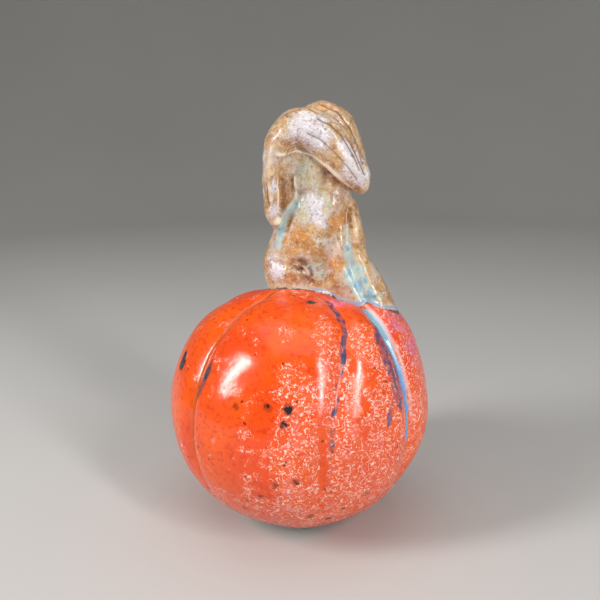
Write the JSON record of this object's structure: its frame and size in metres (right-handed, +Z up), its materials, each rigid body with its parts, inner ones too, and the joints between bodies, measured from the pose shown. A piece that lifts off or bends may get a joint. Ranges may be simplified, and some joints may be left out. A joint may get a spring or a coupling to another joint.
{
  "type": "glazed ceramic pumpkin ornament",
  "caption": "Hollow stoneware ball with pressed creases and a tall hand-folded clay stem, glazed all over, standing on a small flat foot.",
  "frame": {"origin": "centre of the flat foot, on the surface that the piece stands on", "axes": "+Z up through the ball, -Y the front, +X the side that the stem leans to"},
  "size_m": [0.1099, 0.1098, 0.1755],
  "materials": {
    "orange_glaze": "glossy orange glaze with pink-white crystals, dark iron spots and blue runs",
    "ochre_glaze": "glossy ochre and cream ash glaze with turquoise runs"
  },
  "bodies": {
    "root": {"body": "orange_glaze", "stem": "ochre_glaze"}
  },
  "joints": []
}
